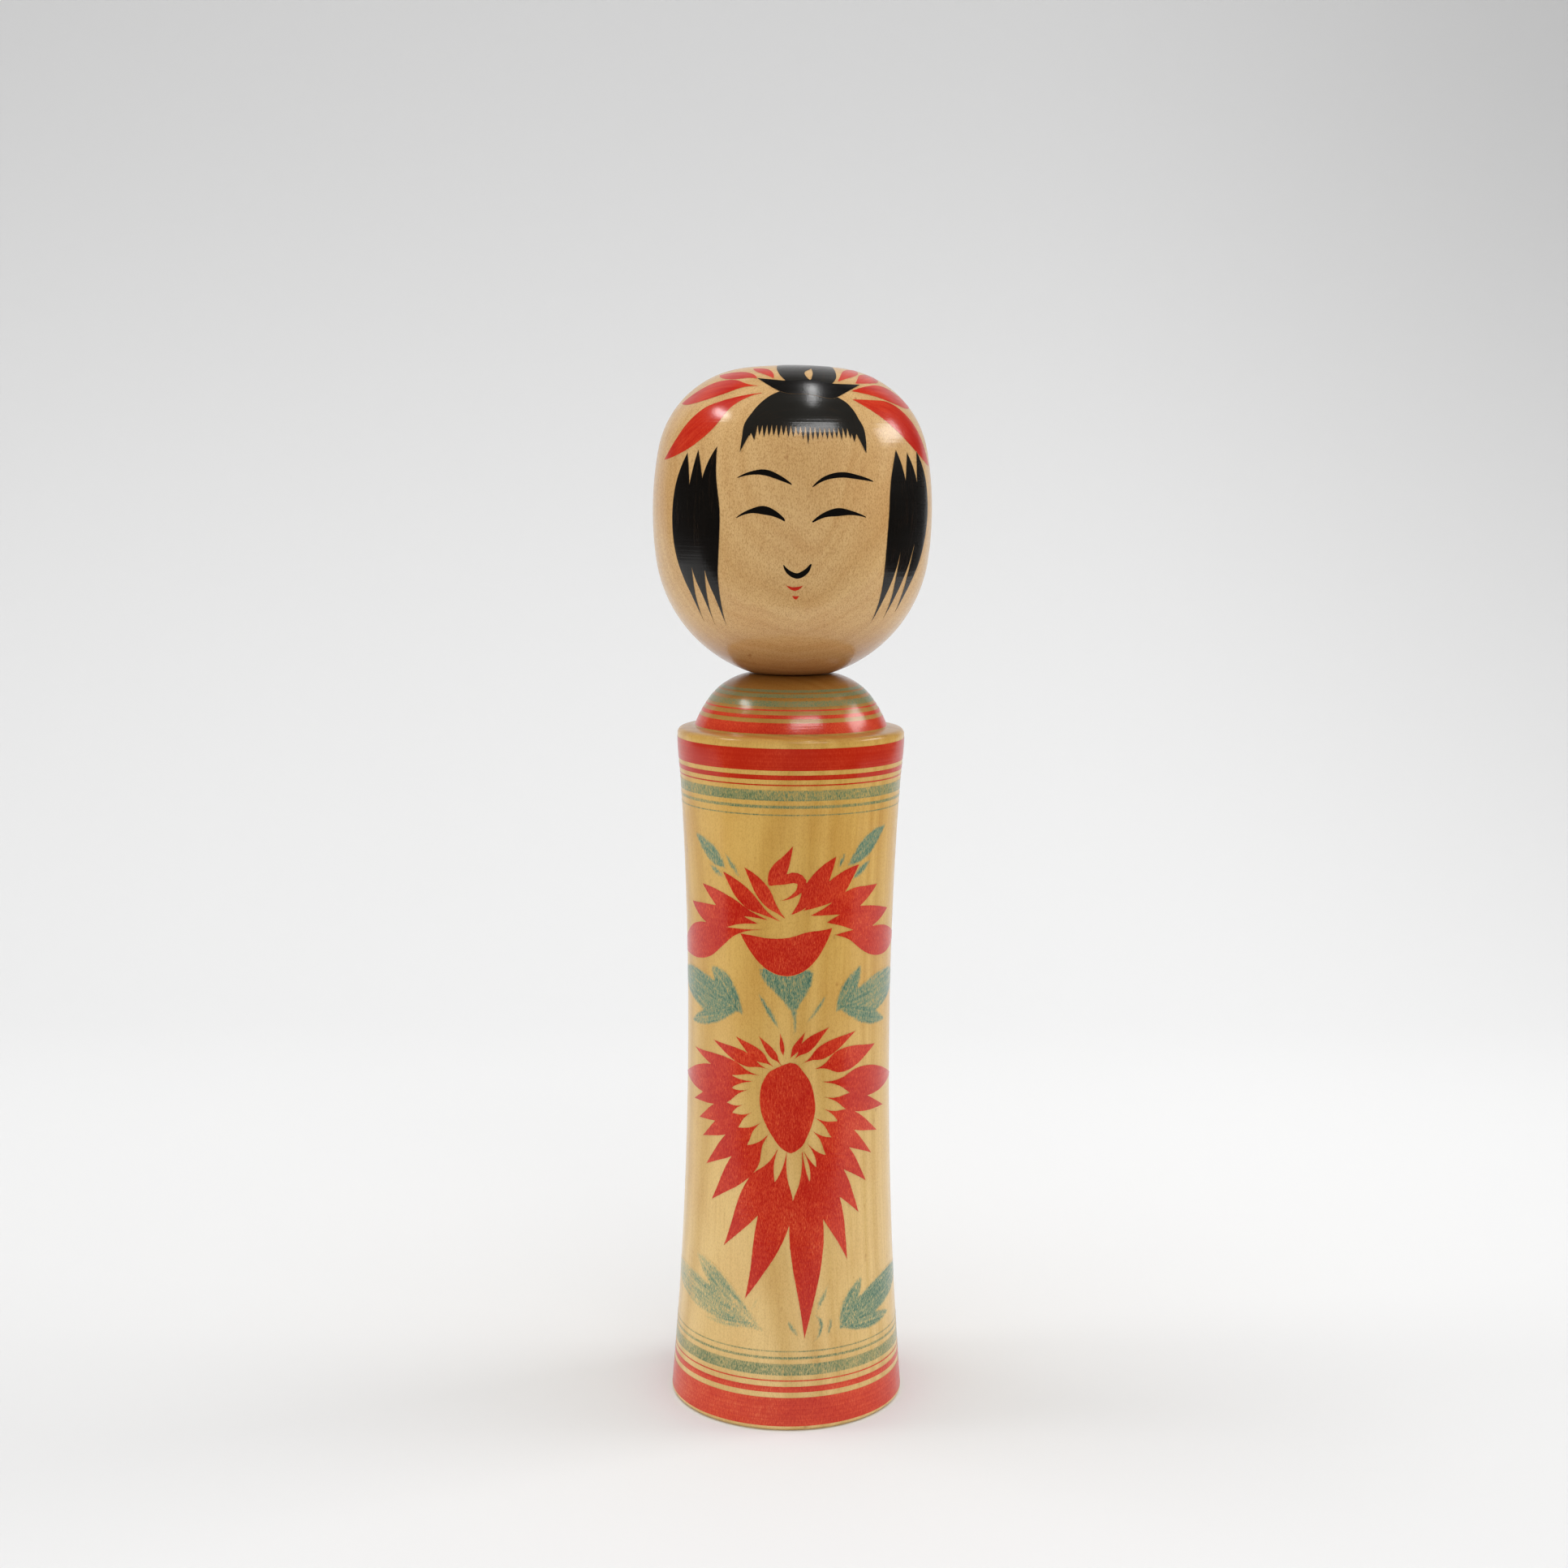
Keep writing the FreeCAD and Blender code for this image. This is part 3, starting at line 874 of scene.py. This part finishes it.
def ribbons_right(crown):
    return strokes(crown, [
        [(41.5, 7.5, 0), (36.5, 12.5, 5), (30.3, 16.2, 8), (24, 19.1, 7.2), (19, 21.6, 3.8),
         (13.5, 23.4, 0.2)],
        [(28, 3.5, 0), (25, 8.5, 5.2), (21.3, 12.8, 5.8), (17.5, 16.8, 3.4), (13, 20.8, 0.2)],
        [(17.5, 2.5, 0), (17.3, 7, 3.5), (16, 11.5, 3.6), (14.9, 14.5, 2), (13.7, 17, 0.2)],
        [(13.2, 3.5, 0), (13, 8, 2.5), (12, 12.5, 3), (10.9, 16, 1.6), (9.7, 19, 0.2)]])


KNOT = (2.8, 2.0)        # where the ribbons behind the topknot meet, right and forward of the crown
RIBBON_WIDTHS = ((1.0, 0), (0.8, 0.6), (0.6, 1.0), (0.4, 0.8), (0.2, 0.25), (0.05, 0.03))


def ribbons_back(crown):
    """Ribbons that fan out behind the topknot, each by its angle, reach and width."""
    paths = []
    for angle, reach, width in ((-112, 27, 5.5), (-137, 30, 6), (-160, 26, 5), (178, 31, 6),
                                (154, 26, 5), (131, 30, 6), (108, 27, 5.5)):
        right, forward = math.sin(math.radians(angle)), math.cos(math.radians(angle))
        paths.append([(KNOT[0] + right * reach * share, KNOT[1] + forward * reach * share, wide * width)
                      for share, wide in RIBBON_WIDTHS])
    return strokes(crown, paths)


def side_lock_left(head):
    """Three spindle strokes side by side that part again at both ends."""
    return strokes(head, [
        [(-50.4, 40, 0), (-51.6, 45.7, 4.3), (-53.3, 54, 5.6), (-52.3, 62, 5.4), (-50.9, 67, 3.7),
         (-50, 72, 1.4), (-50.4, 78.2, 0)],
        [(-43.9, 39.3, 0), (-43.5, 46, 3.7), (-44, 54, 5.4), (-43.7, 62, 4.8), (-43.3, 67, 3.4),
         (-42.6, 72, 1.3), (-43.2, 78.9, 0)],
        [(-33.7, 38.6, 0), (-36.4, 45, 3.6), (-35.8, 53, 5.2), (-36.2, 62, 4.5), (-36.3, 67, 3.3),
         (-35.4, 72.5, 1.4), (-35.7, 78.9, 0)]])


def side_lock_right(head):
    return strokes(head, [
        [(48.9, 39.1, 0), (49, 45, 4.6), (48, 54, 5.6), (46.5, 62, 4.6), (45.6, 67, 3.3), (44.6, 72.5, 1.4),
         (43.7, 78.4, 0)],
        [(56.6, 39.6, 0), (58, 45, 4.3), (58, 54, 5.6), (55.3, 62, 4.6), (53.3, 67, 3.2), (52.3, 72, 1.3),
         (51.6, 77.1, 0)],
        [(65.5, 39.3, 0), (67.6, 45, 5), (69, 52, 5.8), (66, 60, 5.2), (62, 66.5, 3.4), (60, 71.5, 1.3),
         (59.4, 75.7, 0)]])


def brows(head):
    paths = [
        [(-23.2, 45.5, 0.2), (-17.5, 44.5, 0.75), (-11.3, 44.35, 1.3), (-5.7, 45.4, 1.05), (-0.4, 46.9, 0.2)],
        [(7.9, 47.4, 0.2), (12.3, 45.7, 0.8), (19.8, 44.75, 1.2), (27.3, 45.2, 0.95), (34.8, 46.1, 0.2)]]
    return strokes(head, paths, 5, 0.4)


def eyes(head):
    paths = [
        [(-23.4, 54.1, 0.2), (-17, 52.6, 0.95), (-11.6, 52.4, 1.85), (-7, 53.2, 1.25), (-3.1, 54.6, 0.4)],
        [(7.9, 54.9, 0.35), (13, 53.3, 1.1), (18.4, 52.7, 1.75), (24.6, 52.9, 0.9), (31.1, 53.8, 0.2)]]
    return strokes(head, paths, 5, 0.4)


def nose(head):
    path = [(-3.7, 64.1, 0.2), (-1.5, 65.7, 0.95), (2.1, 66.5, 1.25), (5.5, 65.6, 1.15), (7.7, 63.8, 0.3)]
    return [stroke(head, path, 5, 0.3)]


def lips(head):
    upper = [(-3.2, 68.4), (1.3, 68.95), (5.1, 68.4)], [(-3.2, 68.4), (1.4, 69.95), (5.1, 68.4)]
    lower = [(-0.2, 71), (1.5, 71.05), (3.3, 71)], [(-0.2, 71), (1.5, 72), (3.3, 71)]
    return [between(head, above, below, 5, 0.3) for above, below in (upper, lower)]


# ---- paint on the body

def lower_petals(body):
    """The large flower: petals by outer tip, inner root, width and bend, round from the top left."""
    return [petal(body, *numbers) for numbers in (
        ((-17, 92), (-3.8, 85.2), 1.9), ((-31, 91.3), (-8, 84.8), 2.8), ((-47, 89.4), (-11, 84.2), 3.4),
        ((-66, 86), (-15.5, 82.6), 3.8), ((-86, 78), (-20, 81.2), 7.2), ((-66.5, 73.6), (-22.5, 79.1), 4.2),
        ((-59.5, 69.8), (-26, 75.4), 4.3), ((-55.5, 65.8), (-20.5, 73.9), 4.5),
        ((-51.5, 59.5), (-15, 71.8), 5.2), ((-46, 51.6), (-10.5, 69.3), 6.4, 0.2),
        ((-36.3, 41.6), (-5.5, 66), 6.6, 0.7), ((-22.6, 30), (-0.8, 65.2), 7.4, 1.3),
        ((8.8, 21.3), (7.5, 65.5), 7.9, 0.9), ((33.4, 38.7), (8.5, 65.2), 6, 0.9),
        ((42, 49), (10.5, 67), 5.5, 0.4), ((48, 56), (13, 70), 5.2, 0.4),
        ((53, 62.2), (14.5, 73), 4.6, 0.2), ((59, 67), (19.5, 74.9), 4.2), ((67, 72.3), (20, 77.6), 4.3),
        ((86, 78), (19, 81.2), 7.2), ((56.6, 87.9), (14, 84.3), 5.6), ((40.3, 92.2), (7, 85.6), 3.4, 0.2),
        ((22.8, 93.9), (2.5, 86.5), 2.8, 0.4), ((9, 93.1), (0.2, 86.5), 1.7),
        ((-4.8, 92.8), (-2.8, 87), 1.2))]


def lower_centre(body):
    """The oval heart of the large flower."""
    left = [(0.5, 86), (-6, 84.9), (-11, 83.6), (-15, 80.5), (-16, 77.5), (-15, 74), (-12, 71), (-8, 68.2),
            (-3.5, 65.9), (1.5, 64.8)]
    right = [(0.5, 86), (4, 85.7), (8, 83.9), (11.8, 81.5), (14.2, 78), (14.9, 75), (13.4, 71.8), (10.8, 69),
             (7.5, 66.4), (1.5, 64.8)]
    return [between(body, left, right, columns=12)]


def upper_petals(body):
    """The upper flower: petals above its bowl, and in their middle one that curls over."""
    return strokes(body, [
        [(-90, 108, 2), (-76, 109.8, 5.2), (-62, 111.4, 8.2), (-50, 112.7, 7.8), (-42, 113.8, 5.2),
         (-32, 115.3, 2), (-15, 116.4, 0.2)],
        [(-67, 120.4, 0), (-57, 119.1, 3.4), (-46, 118.4, 5), (-37, 118.4, 4.6), (-29, 118.4, 2.6),
         (-17, 117.7, 0.2)],
        [(-54.5, 125.3, 0), (-46, 123.6, 2.8), (-38, 121.9, 4.2), (-30, 120.8, 3.6), (-22, 119.9, 1.6),
         (-11.5, 118.7, 0.2)],
        [(-38, 129, 0), (-32, 126.8, 2.4), (-26, 124.4, 3.8), (-20, 122.2, 3.4), (-13.5, 120.4, 1.4),
         (-5, 118.5, 0.2)],
        [(-24.7, 130.5, 0), (-19, 127.8, 2.4), (-14, 124.8, 3.4), (-10, 122.3, 2.4), (-5.5, 120.4, 0.8),
         (-2, 119, 0.2)],
        [(24.7, 133.1, 0), (20, 130.5, 2.8), (15.5, 127.7, 4.2), (11, 125, 4), (6.5, 122.3, 2.2),
         (0.5, 120, 0.2)],
        [(39.3, 130.8, 0), (32, 128.5, 3.2), (25.5, 126, 4.8), (19, 124, 3.9), (13, 122.3, 1.8),
         (7, 121, 0.2)],
        [(54.5, 125.5, 0), (46, 124.2, 2.9), (37.5, 123.1, 5), (30, 122, 4.8), (22, 120.9, 2.6),
         (11, 119.8, 0.2)],
        [(68, 119, 0), (58, 118.5, 3.2), (48, 118.2, 5.3), (38, 118.3, 5.4), (29, 118.4, 3), (20, 118, 0.2)],
        [(88, 111.2, 1), (76, 111.4, 4.2), (64, 111.8, 6.8), (52, 112.5, 6.8), (43, 113.6, 5),
         (35, 114.6, 2.4), (25, 115, 0.2)],
        [(1.6, 135.9, 0), (-1.8, 132.9, 2), (-5.3, 130.4, 3.6), (-8.3, 128.3, 3.2), (-10.9, 126.6, 0.8)],
        [(-10.9, 127, 0.8), (-7, 127.7, 2), (-2, 128.1, 2.3), (2.5, 128.5, 2.6), (6, 127.6, 2.3),
         (5.3, 125.9, 1.6), (1, 124.2, 0.8), (-5, 123.2, 0.1)]])


def upper_bowl(body):
    rim = [(-27.5, 115.2), (-20, 115), (-12, 114.6), (0, 114.9), (10, 116.1), (18, 116.4), (23.5, 116.8)]
    foot = [(-27.5, 115.2), (-22, 111.4), (-16, 108.5), (-8, 106.4), (0, 105.9), (6, 106.6), (13, 108.8),
            (19, 112.4), (23.5, 116.8)]
    return [between(body, rim, foot, columns=10)]


def calyx(body):
    """The green cup under the bowl, running down into the stem."""
    fan = between(body, [(-17.5, 108), (-14.5, 104.5), (-10, 102.5), (-4, 100), (-0.5, 98)],
                  [(14, 107.5), (12.8, 104), (10, 101.5), (7.3, 99.8), (5.2, 98)])
    stem = stroke(body, [(2.4, 99.4, 2.6), (2.8, 97, 1.5), (3.3, 95, 1.1), (3, 92.2, 0.8)])
    return [fan, stem]


def upper_leaves(body):
    return strokes(body, [
        [(-60, 136.8, 0.4), (-53, 135, 3.1), (-46, 133, 4.2), (-41, 131.3, 3.4), (-36, 129.8, 0.4)],
        [(-48, 130.1, 0.2), (-42, 128.7, 1.8), (-37.5, 127.4, 0.2)],
        [(-37, 133.5, 0.2), (-32, 130.8, 1.6), (-27, 127.8, 0.2)],
        [(60, 138.8, 0.5), (52, 137.2, 3.4), (44, 134.7, 4.8), (37, 132.3, 3.2), (31, 130.6, 0.5)],
        [(48, 131.5, 0.2), (41, 129.5, 2.2), (34, 127.1, 0.2)],
        [(30, 134, 0.2), (28, 132, 1.3), (26, 130, 0.2)]])


def middle_leaves(body):
    return strokes(body, [
        [(-88, 102, 3), (-65, 101, 8.5), (-45, 99, 8), (-28, 97.2, 0.5)],
        [(-48, 106.5, 1), (-40, 103.8, 5), (-33, 100.6, 4), (-26, 96.2, 0.5)],
        [(-70, 92, 0.6), (-50, 94.6, 4.2), (-28, 97.8, 0.6)],
        [(88, 101.5, 3), (66, 100.8, 8.5), (46, 99, 8), (28, 97.8, 0.5)],
        [(43, 107.4, 0.5), (36, 102.8, 4.6), (26, 97, 0.5)],
        [(68, 92.8, 0.6), (50, 94.8, 4), (30, 97.4, 0.6)],
        [(-17, 101.8, 0.3), (-11, 97.6, 1.7), (-4.5, 93.2, 0.2)],
        [(21, 101.5, 0.2), (15.5, 98.2, 1.3), (9.5, 95, 0.2)]])


def lower_left_leaf(body):
    return strokes(body, [
        [(-88, 31, 3), (-60, 29.5, 7.6), (-34, 26.5, 6), (-12, 23.3, 0.5)],
        [(-58, 37.8, 0.6), (-46, 34.8, 4.6), (-34, 31.1, 5), (-24, 27.8, 3), (-11, 22.4, 0.3)],
        [(-48, 23.6, 0.4), (-30, 24, 2.5), (-15, 24.4, 0.6)],
        [(-14, 31.4, 0.2), (-17, 29.2, 1), (-19, 27.2, 0.2)]])


def lower_right_leaf(body):
    return strokes(body, [
        [(88, 30.5, 3), (62, 29, 7.6), (44, 26.6, 6.4), (27, 22.8, 0.5)],
        [(43, 34, 0.4), (36, 29.4, 4.2), (28, 23.4, 0.5)],
        [(67, 22.6, 0.5), (48, 22.8, 3.8), (30, 22.9, 0.6)],
        [(0.6, 25.8, 0.2), (3, 23.8, 1.4), (5.7, 22.1, 0.2)],
        [(13.5, 27.2, 0.2), (17.4, 25.4, 1.3), (17, 22.6, 1.2), (12.6, 20.2, 0.2)],
        [(23.6, 26.2, 0.2), (22.4, 23.8, 1.1), (21, 21.3, 0.2)],
        [(22, 33.6, 0.2), (18.6, 30.6, 1.4), (15, 27.3, 0.2)]])


# ---- putting it together

# The lower and the upper height of each band, by the name of its piece.
RED_BANDS = {
    "foot_red_bands": ((1.1, 7.83), (8.97, 10.42), (11.53, 11.93)),
    "rim_red_bands": ((149.21, 149.61), (150.54, 151.71), (152.64, 157.67)),
    "shoulder_red_bands": ((160.3, 162.75), (163.55, 164.4), (165.2, 165.6))}
GREEN_BANDS = {
    "foot_green_bands": ((12.9, 15.7), (16.67, 17.37), (18.36, 18.76)),
    "rim_green_bands": ((142.46, 142.86), (144.1, 144.9), (145.8, 148.3)),
    "shoulder_green_bands": ((166.1, 167.4), (167.95, 168.8), (169.05, 169.65))}

PETAL_LIFT = SHELL_LIFT + 0.015  # petals lie over the leaves
HAIR_LIFT = SHELL_LIFT + 0.02  # hair lies over the ribbons
TOP_LIFT = SHELL_LIFT + 0.06  # the flower's heart and the bow lie over all they cross


def brushed(draw, surface, body, material, lift=SHELL_LIFT):
    """A piece of paint that is named after the function that draws its strokes."""
    return painted(draw.__name__, surface, draw(surface), body, material, lift)


def paint_bands(surface):
    # The numbers of each ink are its feather, ragged, cover, streaks and grain.
    rim_red = ink("rim red", body_wood_at, RED_WARM, RED_THIN, 0.10, 0.12, 1.05, 0.4, 0.8)
    red = ink("foot red", body_wood_at, RED_DEEP, RED_THIN, 0.10, 0.12, 0.78, 0.4, 1.0)
    green = ink("band green", body_wood_at, GREEN_DEEP, GREEN_THIN, 0.15, 0.2, 0.54, 0.3, 2.2)
    for name, places in RED_BANDS.items():
        bands(name, surface, places, rim_red if name == "rim_red_bands" else red)
    for name, places in GREEN_BANDS.items():
        bands(name, surface, places, green)


def paint_flowers(surface):
    red = ink("flower red", body_wood_at, RED_DEEP, RED_THIN, 0.12, 0.18, 0.9, 0.3, 1.5)
    green = ink("leaf green", body_wood_at, LEAF_DEEP, LEAF_THIN, 0.7, 1.1, 0.68, 1.0, 2.4)
    faint_green = ink("faint green", body_wood_at, LEAF_DEEP, LEAF_THIN, 0.9, 1.4, 0.42, 0.9, 2.0)
    for draw in (calyx, upper_leaves, middle_leaves):
        brushed(draw, surface, "body", green)
    brushed(lower_left_leaf, surface, "body", faint_green)
    brushed(lower_right_leaf, surface, "body", green)
    brushed(upper_petals, surface, "body", red, PETAL_LIFT)
    brushed(upper_bowl, surface, "body", red, PETAL_LIFT)
    petals, centre = lower_petals(surface), lower_centre(surface)
    painted("lower_petals", surface, petals, "body", red, PETAL_LIFT, beside=centre)
    painted("lower_centre", surface, centre, "body", red, TOP_LIFT, beside=petals)


def paint_head(surface, crown):
    red = ink("ribbon red", head_wood_at, RED_DEEP, RED_THIN, 0.14, 0.2, 0.95, 0.5, 0.5)
    black = ink("hair black", head_wood_at, BLACK_GREYER, BLACK_THIN, 0.04, 0.04, 1.15, 0.9, 0.4)
    line = ink("line black", head_wood_at, BLACK_DEEP, BLACK_THIN, 0.02, 0.02, 1.5, 0.3, 0.2)
    wash = ink("lock black", head_wood_at, BLACK_DEEP, BLACK_THIN, 0.08, 0.10, 1.15, 0.9, 0.4)
    for draw in (ribbons_left, ribbons_right, ribbons_back):
        brushed(draw, crown, "head", red)
    brushed(lips, surface, "head", red)
    tuft, tie = topknot(crown), bow(crown)
    painted("topknot", crown, tuft, "head", black, HAIR_LIFT, beside=tie)
    brushed(fringe, surface, "head", black, HAIR_LIFT)
    painted("bow", crown, tie, "head", line, TOP_LIFT, beside=tuft)
    for draw in (side_lock_left, side_lock_right):
        brushed(draw, surface, "head", wash, HAIR_LIFT)
    for draw in (brows, eyes, nose):
        brushed(draw, surface, "head", line)


body_surface = BodySurface(cad_rings("body", SOCKET_RADIUS), spacing=0.25)
head_surface = HeadSurface(rings_above_neck(), spacing=0.8)
crown_surface = CrownSurface(rings_above_neck(), spacing=0.8)
body_of_wood(body_surface)
head_of_wood(head_surface)
paint_bands(body_surface)
paint_flowers(body_surface)
paint_head(head_surface, crown_surface)
backdrop()
surroundings()
lights()
camera()
